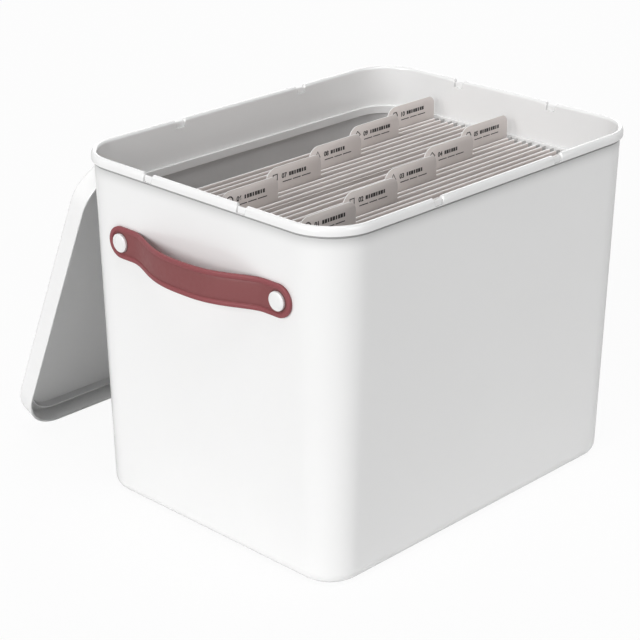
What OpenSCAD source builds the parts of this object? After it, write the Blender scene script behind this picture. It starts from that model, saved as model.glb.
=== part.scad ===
// Portable file box: a drafted plastic tub with a drop-in hanging frame,
// suspension files, tabbed dividers, two strap handles and a loose lid.
// Millimetres. +Z is up, +X runs along the files, the lid leans on +Y.

/* [Box] */
// Length of the box over its lip
box_length = 375; // [350:1:400]
// Width of the box over its lip
box_width = 292; // [276:1:320]
// Height of the box
box_height = 300; // [288:1:320]
// How far each wall leans in between rim and floor
wall_lean = 7.5; // [4:0.5:11]
// Thickness of the walls
wall_thickness = 2.6; // [2:0.1:3.2]
// Thickness of the floor
floor_thickness = 3; // [2.2:0.1:4]
// How far the lip stands out from the wall
lip_outset = 2.3; // [1.8:0.1:3]
// Height of the lip
lip_height = 7.6; // [6.5:0.1:10]
// Outer corner radius of the lip
lip_corner = 41.5; // [36:0.5:46]
// Corner radius of the wall at the floor
base_corner = 30; // [26:0.5:34]
// Rounding between wall and floor
base_round = 10.5; // [7:0.5:13]

/* [Rim notches] */
// Width of each recess under the rim
notch_width = 8.5; // [6:0.5:11]
// Height of each recess
notch_height = 5; // [3.5:0.1:5.4]
// Depth of the dip in the rim above a recess
dip_depth = 2; // [1:0.1:2.2]
// How much wider the dip is than its recess
dip_extra = 1.5; // [0:0.1:3]
// Thickness of the web between outer and inner recess
notch_web = 1.9; // [1.4:0.1:2.4]
// Distance of the end notches from the centre line
end_notch_place = 52; // [40:1:62]
// Distance of the side notches from the centre line
side_notch_place = 72; // [55:1:90]

/* [Hanging frame] */
// Depth of the frame's top edge below the rim
frame_depth = 36; // [34:0.5:40]
// Height of the frame's upright band
frame_height = 7.5; // [6.5:0.1:9]
// Thickness of the band
frame_wall = 2.2; // [1.8:0.1:3]
// Gap between the band's foot and the wall
frame_gap = 0.36; // [0.34:0.02:0.6]
// Thickness of the rails that carry the files
rail_thickness = 2; // [1.6:0.1:2.6]
// Width of the rails inside the band
rail_width = 8; // [6:0.5:10]
// Length of the rails
rail_length = 200; // [190:1:206]
// Width of each rib under the frame
rib_width = 6; // [4:0.5:9]
// Height of each rib
rib_height = 20; // [12:1:28]
// How far each rib reaches in under the band
rib_reach = 3; // [2.8:0.1:4]
// Distance of the ribs from the centre line
rib_place = 60; // [40:1:70]
// Gap above a seat that carries a loose piece
rest_gap = 0.35; // [0.32:0.01:0.5]

/* [Files] */
// Number of files in each half of the box
files_per_half = 5; // [5]
// Distance from one file to the next
file_pitch = 15.4; // [14.4:0.1:16]
// Distance between the two bars of a file
bar_spread = 8.7; // [8.2:0.1:9.2]
// Distance from the centre line to the nearest bar
middle_gap = 7.3; // [6.5:0.1:8]
// Thickness of the folded card
card_thickness = 0.7; // [0.5:0.05:0.9]
// Thickness of a bar
bar_thickness = 1; // [0.8:0.05:1.2]
// Height of the deep middle part of a bar
bar_height = 11.7; // [10:0.1:14]
// Gap between a bar and the card round it
bar_gap = 0.05; // [0.03:0.01:0.1]
// Height of the doubled hem that holds a bar
hem_height = 14.7; // [13.5:0.1:18]
// Length of a hook tip beyond the deep part of its bar
hook_reach = 5.8; // [4:0.1:6.5]
// Gap between a bar's shoulder and the rail's edge
hook_play = 0.6; // [0.4:0.1:1.2]
// How far the hem ends short of the bar's shoulder
hem_setback = 0.4; // [0.2:0.1:1]
// How far the pocket is narrower than its hem at each end
pocket_setback = 2; // [1:0.5:4]
// Height of the pocket's fold above the floor of the box
pocket_clearance = 27; // [20:1:40]

/* [Dividers] */
// Thickness of a divider card
divider_thickness = 0.8; // [0.6:0.05:1]
// Height of a tab above the files
tab_rise = 20.15; // [16:0.05:24]
// Width of a tab
tab_width = 63.4; // [50:0.1:64]
// Distance from one tab to the next
tab_step = 65; // [60:0.1:66]
// Distance of the last tab's edge from its ear
tab_inset = 0.2; // [0:0.1:3]
// Radius of a tab's near corner
tab_near_round = 11; // [6:0.5:14]
// Radius of a tab's far corner
tab_far_round = 6; // [3:0.5:9]
// How far an ear stands out beyond the divider's body
ear_reach = 6.5; // [5:0.1:7]
// Depth of the divider's shoulder below the hems
shoulder_depth = 2; // [1.5:0.1:2.4]

/* [Handles] */
// Distance of a rivet from the centre line
rivet_place = 88.5; // [82:0.5:94]
// Depth of the rivets below the rim
rivet_depth = 66; // [62:1:76]
// Width of a strap
strap_width = 27; // [22:0.5:34]
// Thickness of a strap
strap_thickness = 3; // [2.4:0.1:4]
// How far the strap's middle bows out from the wall
strap_bow = 17.5; // [14:0.5:22]
// How far the strap's middle sags
strap_sag = 0.5; // [0:0.5:6]
// How full the bow is, from an even arch to a long flat middle
strap_fullness = 2.7; // [1.6:0.1:3.5]
// Length of the flat stretch inside each rivet
strap_flat = 14; // [10:0.5:16]
// Diameter of a rivet's shank
shank_diameter = 6; // [5:0.1:7]
// Gap round a shank in the strap and in the wall
shank_gap = 0.2; // [0.1:0.05:0.4]
// Diameter of a rivet's head
head_diameter = 15.5; // [13:0.5:18]
// Height of a rivet's head
head_height = 2.2; // [1.6:0.1:3]
// Diameter of the washer inside the wall
washer_diameter = 14; // [12:0.5:17]
// Thickness of the washer
washer_thickness = 1.2; // [0.8:0.1:1.6]

/* [Lid] */
// Gap between the lid's skirt and the lip when closed
lid_gap = 0.8; // [0.5:0.1:1.5]
// Thickness of the lid
lid_wall = 2.2; // [1.8:0.1:2.8]
// Depth of the lid from rim to top
lid_depth = 19; // [15:0.5:24]
// Outer corner radius of the lid
lid_corner = 42; // [38:0.5:46]
// Rounding between the lid's skirt and its top
lid_round = 4; // [2.5:0.5:6]
// How far the lid's skirt leans in between rim and top
lid_lean = 0.6; // [0.3:0.1:1]
// Height of the ring that plugs the rim
plug_height = 7; // [4:0.5:10]
// Thickness of the ring that plugs the rim
plug_wall = 1.6; // [1.4:0.1:2.6]
// Gap between the ring and the inside of the rim
plug_gap = 0.4; // [0.3:0.1:1.2]
// Height of the lid's top edge below the rim as it leans
lean_drop = 26.3; // [20:0.5:40]
// How far the leaning lid stands to one side
lean_shift = 23.5; // [0:0.5:40]
// Gap between the leaning lid and the wall
lean_gap = 0.4; // [0.35:0.05:0.6]

/* [Hidden] */
$fn = 64;

skin = 0.01;               // thickness of the layers that shells are spanned from
past = 1;                  // how far a cut runs past the face it opens
round_steps = 6;           // layers in a rounded edge
lid_steps = 4;             // layers in the lid's smaller rounding
strap_step = 3.5;          // spacing of the points along a strap's curve
white = [0.93, 0.93, 0.92];
frame_tone = [0.88, 0.88, 0.87];
card_tone = [0.63, 0.60, 0.58];
hem_tone = [0.70, 0.66, 0.64];
steel_tone = [0.30, 0.30, 0.31];
strap_tone = [0.55, 0.32, 0.33];

// the box's walls at a height
function lean_at(z) = wall_lean * (box_height - z) / box_height;
function wall_x(z) = box_length / 2 - lip_outset - lean_at(z);
function wall_y(z) = box_width / 2 - lip_outset - lean_at(z);
lip_wall_corner = lip_corner - lip_outset;
function wall_corner(z) = base_corner + (lip_wall_corner - base_corner) * z / box_height;
wall_tilt = atan(wall_lean / box_height);
crown = wall_thickness + lip_outset;

// the hanging frame
frame_top = box_height - frame_depth;
frame_foot = frame_top - frame_height;
rib_top = frame_foot - rest_gap;
frame_x = wall_x(frame_foot) - wall_thickness - frame_gap;
frame_y = wall_y(frame_foot) - wall_thickness - frame_gap;
frame_corner = wall_corner(frame_foot) - wall_thickness - frame_gap;
rail_edge = frame_x - frame_wall - rail_width;
rail_top = frame_foot + rail_thickness;

// the files hang with their hems level with the frame's top
bar_shoulder = rail_edge - hook_play;
hook_end = bar_shoulder + hook_reach;
hem_half = bar_shoulder - hem_setback;
pocket_half = hem_half - pocket_setback;
hem_thickness = bar_thickness + 2 * (bar_gap + card_thickness);
bar_top = frame_top - card_thickness - bar_gap;
hook_foot = rail_top + rest_gap;
fold_z = floor_thickness + pocket_clearance;
pocket_outer = bar_spread / 2 - hem_thickness / 2 + card_thickness;
pocket_inner = pocket_outer - card_thickness;

// files and dividers share their places: 1 is the nearest to -Y
function half_index(k) = (k - 1) % files_per_half;
first_place = middle_gap + bar_spread / 2;
function file_place(k) = k > files_per_half
    ? first_place + file_pitch * half_index(k)
    : -first_place - file_pitch * (files_per_half - 1 - half_index(k));

// the dividers
divider_half = pocket_half;
ear_half = divider_half + ear_reach;
ear_foot = rail_top + rest_gap;
shoulder_z = frame_top - shoulder_depth;
divider_foot = fold_z + card_thickness + rest_gap;
plain_foot = fold_z + pocket_outer + rest_gap;
tab_top = frame_top + tab_rise;
function tab_far_edge(k) = ear_half - tab_inset - tab_step * (files_per_half - 1 - half_index(k));

// the straps, in the plane of the wall: x out of the wall, y along it, z up it
rivet_z = box_height - rivet_depth;
strap_bend = rivet_place - strap_flat;
function bump(y) = abs(y) < strap_bend ? pow(1 - pow(abs(y) / strap_bend, strap_fullness), 2) : 0;
function strap_back(y) = strap_seat + strap_bow * bump(y);
function strap_line(y) = -strap_sag * bump(y);
strap_seat = 0.05;
strap_reach = rivet_place + strap_width / 2;
strap_points = floor(strap_bend / strap_step);
strap_run = [for (i = [-strap_points:strap_points]) i * strap_bend / strap_points];

// the lid
lid_length = box_length + 2 * (lid_wall + lid_gap);
lid_width = box_width + 2 * (lid_wall + lid_gap);
plug_inset = lid_wall + lid_gap + crown + plug_gap;
lean_angle = asin(min((box_height - lean_drop) / lid_width, 0.94));
lean_top = lid_width * sin(lean_angle);
lean_foot = wall_y(lean_top) + lean_gap + lid_width * cos(lean_angle);

module rounded_rectangle(half_x, half_y, corner) {
    square([2 * half_x, 2 * (half_y - corner)], center = true);
    square([2 * (half_x - corner), 2 * half_y], center = true);
    for (sx = [-1, 1], sy = [-1, 1])
        translate([sx * (half_x - corner), sy * (half_y - corner)])
            circle(r = corner);
}

// one thin layer of a shell
module layer(half_x, half_y, corner, z) {
    translate([0, 0, z])
        linear_extrude(height = skin)
            rounded_rectangle(half_x, half_y, corner);
}

// a layer of the wall, moved in by an inset
module wall_layer(z, inset, level) {
    layer(wall_x(z) - inset, wall_y(z) - inset, wall_corner(z) - inset, level);
}

module tub(inset, bottom, top, bottom_round) {
    hull() {
        for (i = [0:round_steps]) {
            turn = 90 * i / round_steps;
            z = bottom + bottom_round * (1 - cos(turn));
            wall_layer(z, inset + bottom_round * (1 - sin(turn)), z);
        }
        wall_layer(top, inset, top - skin);
    }
}

module lip() {
    foot = box_height - lip_height;
    hull() {
        layer(wall_x(foot) + lip_outset - 0.3, wall_y(foot) + lip_outset - 0.3, lip_corner - 0.3, foot);
        layer(wall_x(foot) + lip_outset, wall_y(foot) + lip_outset, lip_corner, foot + 0.5);
        for (i = [0:round_steps]) {
            turn = 90 * i / round_steps;
            inset = lip_outset * (1 - cos(turn));
            z = box_height - lip_outset * (1 - sin(turn));
            layer(box_length / 2 - inset, box_width / 2 - inset, lip_corner - inset, z - skin);
        }
    }
}

// the inside rounding of the rim, in three short flares
module rim_flare() {
    for (i = [0:2]) {
        low = 90 * i / 3;
        high = 90 * (i + 1) / 3;
        low_z = box_height - lip_outset * (1 - sin(low));
        high_z = box_height - lip_outset * (1 - sin(high));
        hull() {
            wall_layer(box_height, wall_thickness - lip_outset * (1 - cos(low)), low_z - skin);
            wall_layer(box_height, wall_thickness - lip_outset * (1 - cos(high)), high_z + (i == 2 ? skin : 0));
        }
    }
}

// ribs that carry the frame at both ends: blocks left standing on the walls
module ribs() {
    reach_x = wall_x(rib_top) - wall_thickness - frame_gap - rib_reach;
    for (side = [-1, 1], place = [-1, 1])
        translate([side > 0 ? reach_x : -box_length / 2, place * rib_place - rib_width / 2, rib_top - rib_height])
            cube([box_length / 2 - reach_x, rib_width, rib_height]);
}

// one notch at the middle of an edge that faces +X, on its crown from inner face to outer face
module notch() {
    recess = (crown - notch_web) / 2;
    recess_top = box_height - dip_depth + past;
    translate([-crown - past, -(notch_width + dip_extra) / 2, box_height - dip_depth])
        cube([crown + 2 * past, notch_width + dip_extra, dip_depth + past]);
    translate([-recess, -notch_width / 2, recess_top - notch_height - past])
        cube([recess + past, notch_width, notch_height]);
    translate([-crown - past, -notch_width / 2, recess_top - notch_height - past])
        cube([recess + past, notch_width, notch_height]);
}

module notches() {
    for (side = [0, 180], place = [-1, 1]) {
        rotate([0, 0, side])
            translate([box_length / 2, place * end_notch_place, 0])
                notch();
        rotate([0, 0, side + 90])
            translate([box_width / 2, place * side_notch_place, 0])
                notch();
    }
}

// children stand on the +X wall at rivet height; end = 0 is +X, 180 is -X
module on_end_wall(end) {
    rotate([0, 0, end])
        translate([wall_x(rivet_z), 0, rivet_z])
            rotate([0, wall_tilt, 0])
                children();
}

module at_rivets() {
    for (place = [-1, 1])
        translate([0, place * rivet_place, 0])
            children();
}

module rivet_holes() {
    for (end = [0, 180])
        on_end_wall(end)
            at_rivets()
                rotate([0, -90, 0])
                    translate([0, 0, -past])
                        cylinder(h = wall_thickness + 2 * past, d = shank_diameter + 2 * shank_gap);
}

module box_shell() {
    color(white)
        difference() {
            union() {
                tub(0, 0, box_height - lip_outset, base_round);
                lip();
            }
            difference() {
                tub(wall_thickness, floor_thickness, box_height - lip_outset + skin, base_round - wall_thickness);
                ribs();
            }
            rim_flare();
            notches();
            rivet_holes();
        }
}

module hanging_frame() {
    color(frame_tone)
        union() {
            translate([0, 0, frame_foot])
                linear_extrude(height = frame_height)
                    difference() {
                        rounded_rectangle(frame_x, frame_y, frame_corner);
                        rounded_rectangle(frame_x - frame_wall, frame_y - frame_wall, frame_corner - frame_wall);
                    }
            for (side = [-1, 1])
                translate([side > 0 ? rail_edge : -frame_x + frame_wall / 2, -rail_length / 2, frame_foot])
                    cube([frame_x - rail_edge - frame_wall / 2, rail_length, rail_thickness]);
        }
}

// the U-shaped pocket and its two doubled hems, seen from the end
module pocket_outline() {
    top = frame_top - hem_height + past;
    difference() {
        union() {
            translate([-pocket_outer, fold_z + pocket_outer])
                square([2 * pocket_outer, top - fold_z - pocket_outer]);
            translate([0, fold_z + pocket_outer])
                circle(r = pocket_outer);
        }
        translate([-pocket_inner, fold_z + pocket_outer])
            square([2 * pocket_inner, top - fold_z - pocket_outer + past]);
        translate([0, fold_z + pocket_outer])
            circle(r = pocket_inner);
    }
}

module hem_outline() {
    slot = bar_thickness + 2 * bar_gap;
    difference() {
        translate([-hem_thickness / 2, frame_top - hem_height])
            square([hem_thickness, hem_height]);
        translate([-slot / 2, bar_top - bar_height - bar_gap])
            square([slot, bar_height + 2 * bar_gap]);
    }
}

module run_along_x(half_length) {
    rotate([90, 0, 90])
        linear_extrude(height = 2 * half_length, center = true)
            children();
}

module hanging_file(k) {
    color(hem_tone)
        translate([0, file_place(k), 0]) {
            run_along_x(pocket_half)
                pocket_outline();
            for (side = [-1, 1])
                translate([0, side * bar_spread / 2, 0])
                    run_along_x(hem_half)
                        hem_outline();
        }
}

module bar() {
    rotate([90, 0, 0])
        linear_extrude(height = bar_thickness, center = true) {
            translate([-bar_shoulder, bar_top - bar_height])
                square([2 * bar_shoulder, bar_height]);
            translate([-hook_end, hook_foot])
                square([2 * hook_end, bar_top - hook_foot]);
        }
}

module file_bars(k) {
    color(steel_tone)
        for (side = [-1, 1])
            translate([0, file_place(k) + side * bar_spread / 2, 0])
                bar();
}

// a divider's body with the ears that reach over the rails
module divider_outline(foot, top) {
    translate([-divider_half, foot])
        square([2 * divider_half, top - foot]);
    translate([-ear_half, ear_foot])
        square([2 * ear_half, top - ear_foot]);
}

module tab_outline(far_edge) {
    near_edge = far_edge - tab_width;
    base = shoulder_z - past;
    translate([near_edge, base])
        square([tab_width, tab_top - tab_near_round - base]);
    translate([near_edge + tab_near_round, base])
        square([tab_width - tab_near_round, tab_top - tab_far_round - base]);
    translate([near_edge + tab_near_round, base])
        square([tab_width - tab_near_round - tab_far_round, tab_top - base]);
    translate([near_edge + tab_near_round, tab_top - tab_near_round])
        circle(r = tab_near_round);
    translate([far_edge - tab_far_round, tab_top - tab_far_round])
        circle(r = tab_far_round);
}

module card_sheet() {
    rotate([90, 0, 0])
        linear_extrude(height = divider_thickness, center = true)
            children();
}

module tab_divider(k) {
    color(card_tone)
        translate([0, file_place(k), 0])
            card_sheet() {
                divider_outline(divider_foot, shoulder_z);
                tab_outline(tab_far_edge(k));
            }
}

module plain_divider() {
    color(card_tone)
        card_sheet()
            divider_outline(plain_foot, frame_top);
}

// the strap's curve seen from above, cut to its outline seen from outside
module strap(end) {
    color(strap_tone)
        on_end_wall(end)
            difference() {
                intersection() {
                    strap_curve();
                    strap_outline();
                }
                at_rivets()
                    rotate([0, 90, 0])
                        translate([0, 0, -past])
                            cylinder(h = strap_thickness + 3 * past, d = shank_diameter + 2 * shank_gap);
            }
}

module strap_curve() {
    back = [for (y = strap_run) [strap_back(y), y]];
    front = [for (i = [len(strap_run) - 1:-1:0]) [strap_back(strap_run[i]) + strap_thickness, strap_run[i]]];
    ends = strap_reach + past;
    translate([0, 0, -strap_width])
        linear_extrude(height = 2 * strap_width)
            polygon(concat(
                [[strap_seat, -ends]], back, [[strap_seat, ends], [strap_seat + strap_thickness, ends]],
                front, [[strap_seat + strap_thickness, -ends]]
            ));
}

module strap_outline() {
    low = [for (y = strap_run) [y, strap_line(y) - strap_width / 2]];
    high = [for (i = [len(strap_run) - 1:-1:0]) [strap_run[i], strap_line(strap_run[i]) + strap_width / 2]];
    rotate([90, 0, 90])
        linear_extrude(height = strap_bow + strap_thickness + 3 * past, center = false) {
            polygon(concat(low, high));
            for (place = [-1, 1]) {
                translate([place * (rivet_place + strap_bend) / 2, 0])
                    square([strap_flat, strap_width], center = true);
                translate([place * rivet_place, 0])
                    circle(d = strap_width);
            }
        }
}

module strap_left() {
    strap(180);
}

module strap_right() {
    strap(0);
}

// a rivet's outline from its axis outwards: clenched foot, shank and domed head
module rivet_outline() {
    inner = wall_thickness + washer_thickness + 2 * strap_seat;
    under_head = 2 * strap_seat + strap_thickness;
    clench = 0.75 * shank_diameter;
    dome = [for (i = [0:round_steps])
        [head_diameter / 2 * cos(90 * i / round_steps), under_head + head_height * (0.35 + 0.65 * sin(90 * i / round_steps))]];
    polygon(concat(
        [[0, -inner - 1.2], [clench - 0.6, -inner - 1.2], [clench, -inner - 0.6], [clench, -inner],
        [shank_diameter / 2, -inner], [shank_diameter / 2, under_head], [head_diameter / 2, under_head]],
        [for (i = [0:round_steps - 1]) dome[i]], [[0, under_head + head_height]]
    ));
}

module rivets() {
    color(white)
        for (end = [0, 180])
            on_end_wall(end)
                at_rivets()
                    rotate([0, 90, 0])
                        rotate_extrude()
                            rivet_outline();
}

module rivet_washers() {
    color(steel_tone)
        for (end = [0, 180])
            on_end_wall(end)
                at_rivets()
                    rotate([0, -90, 0])
                        translate([0, 0, wall_thickness + strap_seat])
                            difference() {
                                cylinder(h = washer_thickness, d = washer_diameter);
                                translate([0, 0, -past])
                                    cylinder(h = washer_thickness + 2 * past, d = shank_diameter + shank_gap);
                            }
}

// one layer of the lid; its skirt leans in a little from the rim to the top
module lid_layer(z, inset) {
    in = inset - lid_lean * z / lid_depth;
    layer(lid_length / 2 - in, lid_width / 2 - in, lid_corner - in, z);
}

// a solid block with a rounded foot, as the lid's outside and inside
module lid_block(inset, foot, foot_round, top) {
    hull() {
        for (i = [0:lid_steps]) {
            turn = 90 * i / lid_steps;
            lid_layer(foot + foot_round * (1 - cos(turn)), inset + foot_round * (1 - sin(turn)));
        }
        lid_layer(top, inset);
    }
}

// the lid as a tray, its open rim at z = 0 and its top below
module lid_tray() {
    inside = -lid_depth + lid_wall;
    difference() {
        lid_block(0, -lid_depth, lid_round, -skin);
        difference() {
            lid_block(lid_wall, inside, lid_round - lid_wall / 2, past);
            plug_ring(inside);
        }
    }
}

// the ring inside the lid that plugs the rim of the closed box
module plug_ring(foot) {
    half_x = lid_length / 2 - plug_inset;
    half_y = lid_width / 2 - plug_inset;
    corner = lid_corner - plug_inset;
    translate([0, 0, foot - past])
        linear_extrude(height = plug_height + past)
            difference() {
                rounded_rectangle(half_x, half_y, corner);
                rounded_rectangle(half_x - plug_wall, half_y - plug_wall, corner - plug_wall);
            }
}

module lid() {
    color(white)
        translate([lean_shift, lean_foot, 0])
            rotate([180 - lean_angle, 0, 0])
                translate([0, lid_width / 2, 0])
                    lid_tray();
}

box_shell();
hanging_frame();
lid();
strap_left();
strap_right();
rivets();
rivet_washers();
hanging_file(1);  // hanging_file_1
hanging_file(2);  // hanging_file_2
hanging_file(3);  // hanging_file_3
hanging_file(4);  // hanging_file_4
hanging_file(5);  // hanging_file_5
hanging_file(6);  // hanging_file_6
hanging_file(7);  // hanging_file_7
hanging_file(8);  // hanging_file_8
hanging_file(9);  // hanging_file_9
hanging_file(10);  // hanging_file_10
file_bars(1);  // file_bars_1
file_bars(2);  // file_bars_2
file_bars(3);  // file_bars_3
file_bars(4);  // file_bars_4
file_bars(5);  // file_bars_5
file_bars(6);  // file_bars_6
file_bars(7);  // file_bars_7
file_bars(8);  // file_bars_8
file_bars(9);  // file_bars_9
file_bars(10);  // file_bars_10
tab_divider(1);  // tab_divider_1
tab_divider(2);  // tab_divider_2
tab_divider(3);  // tab_divider_3
tab_divider(4);  // tab_divider_4
tab_divider(5);  // tab_divider_5
tab_divider(6);  // tab_divider_6
tab_divider(7);  // tab_divider_7
tab_divider(8);  // tab_divider_8
tab_divider(9);  // tab_divider_9
tab_divider(10);  // tab_divider_10
plain_divider();
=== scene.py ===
import math

import bmesh
import bpy
import numpy as np
from mathutils import Matrix, Vector


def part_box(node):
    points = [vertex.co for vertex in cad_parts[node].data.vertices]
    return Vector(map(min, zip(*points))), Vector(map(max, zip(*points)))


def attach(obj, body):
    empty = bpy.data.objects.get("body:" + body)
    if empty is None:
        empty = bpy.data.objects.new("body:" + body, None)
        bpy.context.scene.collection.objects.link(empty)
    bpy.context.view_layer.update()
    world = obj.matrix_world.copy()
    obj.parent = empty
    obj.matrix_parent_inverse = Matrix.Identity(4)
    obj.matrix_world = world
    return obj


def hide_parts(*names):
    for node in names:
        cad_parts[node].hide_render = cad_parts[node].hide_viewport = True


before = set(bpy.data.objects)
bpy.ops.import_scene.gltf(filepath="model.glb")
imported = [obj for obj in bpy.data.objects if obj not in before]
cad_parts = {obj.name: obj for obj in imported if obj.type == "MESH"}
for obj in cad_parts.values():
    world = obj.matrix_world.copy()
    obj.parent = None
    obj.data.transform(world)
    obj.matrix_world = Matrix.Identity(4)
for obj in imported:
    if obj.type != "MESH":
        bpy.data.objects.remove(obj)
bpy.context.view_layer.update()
MM = 0.001

# Camera: a long lens looks down on the near corner between the left end and the long side.
# Its place and turn come from the lines of the rim and the base in the photograph.
camera_data = bpy.data.cameras.new("camera")
camera_data.sensor_width = 36.0
camera_data.lens = 109.11
camera_data.shift_x = -0.00427
camera_data.shift_y = -0.00055
camera_data.clip_end = 50.0
camera_azimuth = math.radians(-45.9623)
camera_elevation = math.radians(22.6681)
camera_place = Vector((-1.1151, -1.0335, 0.7723))
camera_back = Vector((
    math.sin(camera_azimuth) * math.cos(camera_elevation),
    -math.cos(camera_azimuth) * math.cos(camera_elevation),
    math.sin(camera_elevation),
))
camera_right = Vector((math.cos(camera_azimuth), math.sin(camera_azimuth), 0.0))
camera_up = camera_back.cross(camera_right)
camera_turn = Matrix((camera_right, camera_up, camera_back)).transposed()
camera = bpy.data.objects.new("camera", camera_data)
camera.matrix_world = Matrix.Translation(camera_place) @ camera_turn.to_4x4()
bpy.context.scene.collection.objects.link(camera)
bpy.context.scene.camera = camera
bpy.context.scene.view_settings.view_transform = "Standard"

# Studio: a pale room, a soft lamp nearly overhead, broad lamps set low, and a pale floor.
# The stronger low lamp faces the left end, the weaker one the long side, and a faint one fills the
# back; sight lines and reflections see the room as white, and the floor keeps a faint shadow.
ROOM_LEVEL = 0.13
LAMPS = (
    # name, where its light comes from, level, angle across in degrees
    ("end_lamp", (-1.0, -0.05, 0.31), 1.87, 35.0),
    ("side_lamp", (0.05, -1.0, 0.25), 0.47, 30.0),
    ("top_lamp", (-0.10, -0.28, 1.0), 1.15, 30.0),
    ("back_lamp", (1.0, 0.8, 0.4), 0.75, 40.0),
)
FLOOR_PAINT = (0.88, 0.88, 0.88, 1.0)
FLOOR_WHITE = 0.93
FLOOR_HALF = 12.0
FLOOR_DROP = 0.4 * MM


def wired(tree, kind, inputs=None, **settings):
    """A node with its settings, and inputs that are values or other nodes' outputs."""
    node = tree.nodes.new(kind)
    for label, value in settings.items():
        setattr(node, label, value)
    for label, value in (inputs or {}).items():
        if isinstance(value, bpy.types.NodeSocket):
            tree.links.new(value, node.inputs[label])
        else:
            node.inputs[label].default_value = value
    return node


def new_material(name):
    """A material and its node tree, which is still empty."""
    material = bpy.data.materials.new(name)
    material.use_nodes = True
    material.node_tree.nodes.clear()
    return material, material.node_tree


world = bpy.data.worlds.new("studio")
bpy.context.scene.world = world
world.use_nodes = True
tree = world.node_tree
tree.nodes.clear()
path = wired(tree, "ShaderNodeLightPath").outputs
direct = wired(tree, "ShaderNodeMath", {0: path["Is Camera Ray"], 1: path["Is Glossy Ray"]}, operation="MAXIMUM")
seen = wired(tree, "ShaderNodeMath", {
    0: direct.outputs[0], 1: 1.0 - ROOM_LEVEL, 2: ROOM_LEVEL,
}, operation="MULTIPLY_ADD")
room = wired(tree, "ShaderNodeBackground", {"Color": (1.0, 1.0, 1.0, 1.0), "Strength": seen.outputs[0]})
wired(tree, "ShaderNodeOutputWorld", {"Surface": room.outputs[0]})

for name, light_from, level, width in LAMPS:
    lamp_data = bpy.data.lights.new(name, "SUN")
    lamp_data.energy = level
    lamp_data.angle = math.radians(width)
    lamp = bpy.data.objects.new(name, lamp_data)
    lamp.rotation_mode = "QUATERNION"
    lamp.rotation_quaternion = Vector(light_from).to_track_quat("Z", "Y")
    bpy.context.scene.collection.objects.link(lamp)

floor_material, tree = new_material("studio_floor")
paint = wired(tree, "ShaderNodeBsdfDiffuse", {"Color": FLOOR_PAINT})
white = wired(tree, "ShaderNodeEmission", {"Strength": 1.0})
path = wired(tree, "ShaderNodeLightPath").outputs
share = wired(tree, "ShaderNodeMath", {0: path["Is Camera Ray"], 1: FLOOR_WHITE}, operation="MULTIPLY")
open_floor = wired(tree, "ShaderNodeMixShader", {"Fac": share.outputs[0], 1: paint.outputs[0], 2: white.outputs[0]})
wired(tree, "ShaderNodeOutputMaterial", {"Surface": open_floor.outputs[0]})
floor_mesh = bpy.data.meshes.new("studio_floor")
floor_corners = ((-1, -1), (1, -1), (1, 1), (-1, 1))
floor_mesh.from_pydata([(x * FLOOR_HALF, y * FLOOR_HALF, -FLOOR_DROP) for x, y in floor_corners], [], [(0, 1, 2, 3)])
floor_mesh.materials.append(floor_material)
floor = bpy.data.objects.new("studio_floor", floor_mesh)
bpy.context.scene.collection.objects.link(floor)

# Tub: a tall shell moulded in satin white polypropylene, with a rounded foot, a rolled lip over a shallow
# neck, eight notches in the rim and four ribs inside its ends. One outline is lofted from the underside
# over the crown to the inner floor; painted shade greys it under the lip, in the notches and below the frame.
tub_low, tub_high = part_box("box_shell")
frame_low, frame_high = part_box("hanging_frame")
TUB_LENGTH = tub_high.x - tub_low.x
TUB_WIDTH = tub_high.y - tub_low.y
TUB_HEIGHT = tub_high.z
WALL_LEAN = 7.5 * MM
WALL = 2.6 * MM
FLOOR_THICKNESS = 3.0 * MM
BASE_CORNER = 30.0 * MM
BASE_ROUND = 10.5 * MM
LIP_OUTSET = 2.3 * MM
LIP_HEIGHT = 7.6 * MM
LIP_CORNER = 41.5 * MM
LIP_SHOULDER = 4.9 * MM
NECK_DEPTH = 0.8 * MM
NECK_HEIGHT = 2.0 * MM
NOTCH_WIDTH = 8.5 * MM
NOTCH_WEB = 1.9 * MM
NOTCH_EDGE = 0.25 * MM
NOTCH_OFFSETS = (5.7, 5.3, 5.0, 4.5, 4.25, 4.0, 2.0)
DIP_WIDTH = 10.0 * MM
DIP_DEPTH = 2.0 * MM
DIP_EDGE = 0.6 * MM
DIP_RISE = 4.6 * MM
RECESS_FOOT = TUB_HEIGHT - DIP_DEPTH - 5.0 * MM
END_NOTCH = 52.0 * MM
SIDE_NOTCH = 72.0 * MM
END_STRAIGHT = 104.0 * MM
SIDE_STRAIGHT = 144.0 * MM
CORNER_STEPS = 20
RIB_TOP = frame_low.z - 0.35 * MM
RIB_WIDTH = 6.0 * MM
RIB_HEIGHT = 20.0 * MM
RIB_PLACE = 60.0 * MM
RIB_REACH = 3.4 * MM
# Painted shade: grey that is full in the neck and fades down from the lip and from the hanging frame.
LIP_SHADE = 12.0 * MM
FRAME_SHADE = 75.0 * MM
LIP_SHADE_DARKNESS = 0.6
FRAME_SHADE_DARKNESS = 0.42
NOTCH_STEP_SHADE = 0.5
NOTCH_RECESS_SHADE = 0.8
# Grey of the painted shade laid into the tub and the lid.
SHADE_GREY = (0.42, 0.42, 0.42, 1.0)
PLASTIC_WHITE = ((0.895, 0.895, 0.892), (0.915, 0.915, 0.913))


def make_group(name, inputs, outputs):
    """A shader node group with named sockets, and its inputs; four numbers stand for a colour."""
    group = bpy.data.node_groups.new(name, "ShaderNodeTree")
    for label, value in inputs.items():
        kind = "NodeSocketFloat" if isinstance(value, float) else "NodeSocketColor"
        group.interface.new_socket(label, in_out="INPUT", socket_type=kind).default_value = value
    for label, kind in outputs.items():
        group.interface.new_socket(label, in_out="OUTPUT", socket_type="NodeSocket" + kind)
    return group, wired(group, "NodeGroupInput").outputs


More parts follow.
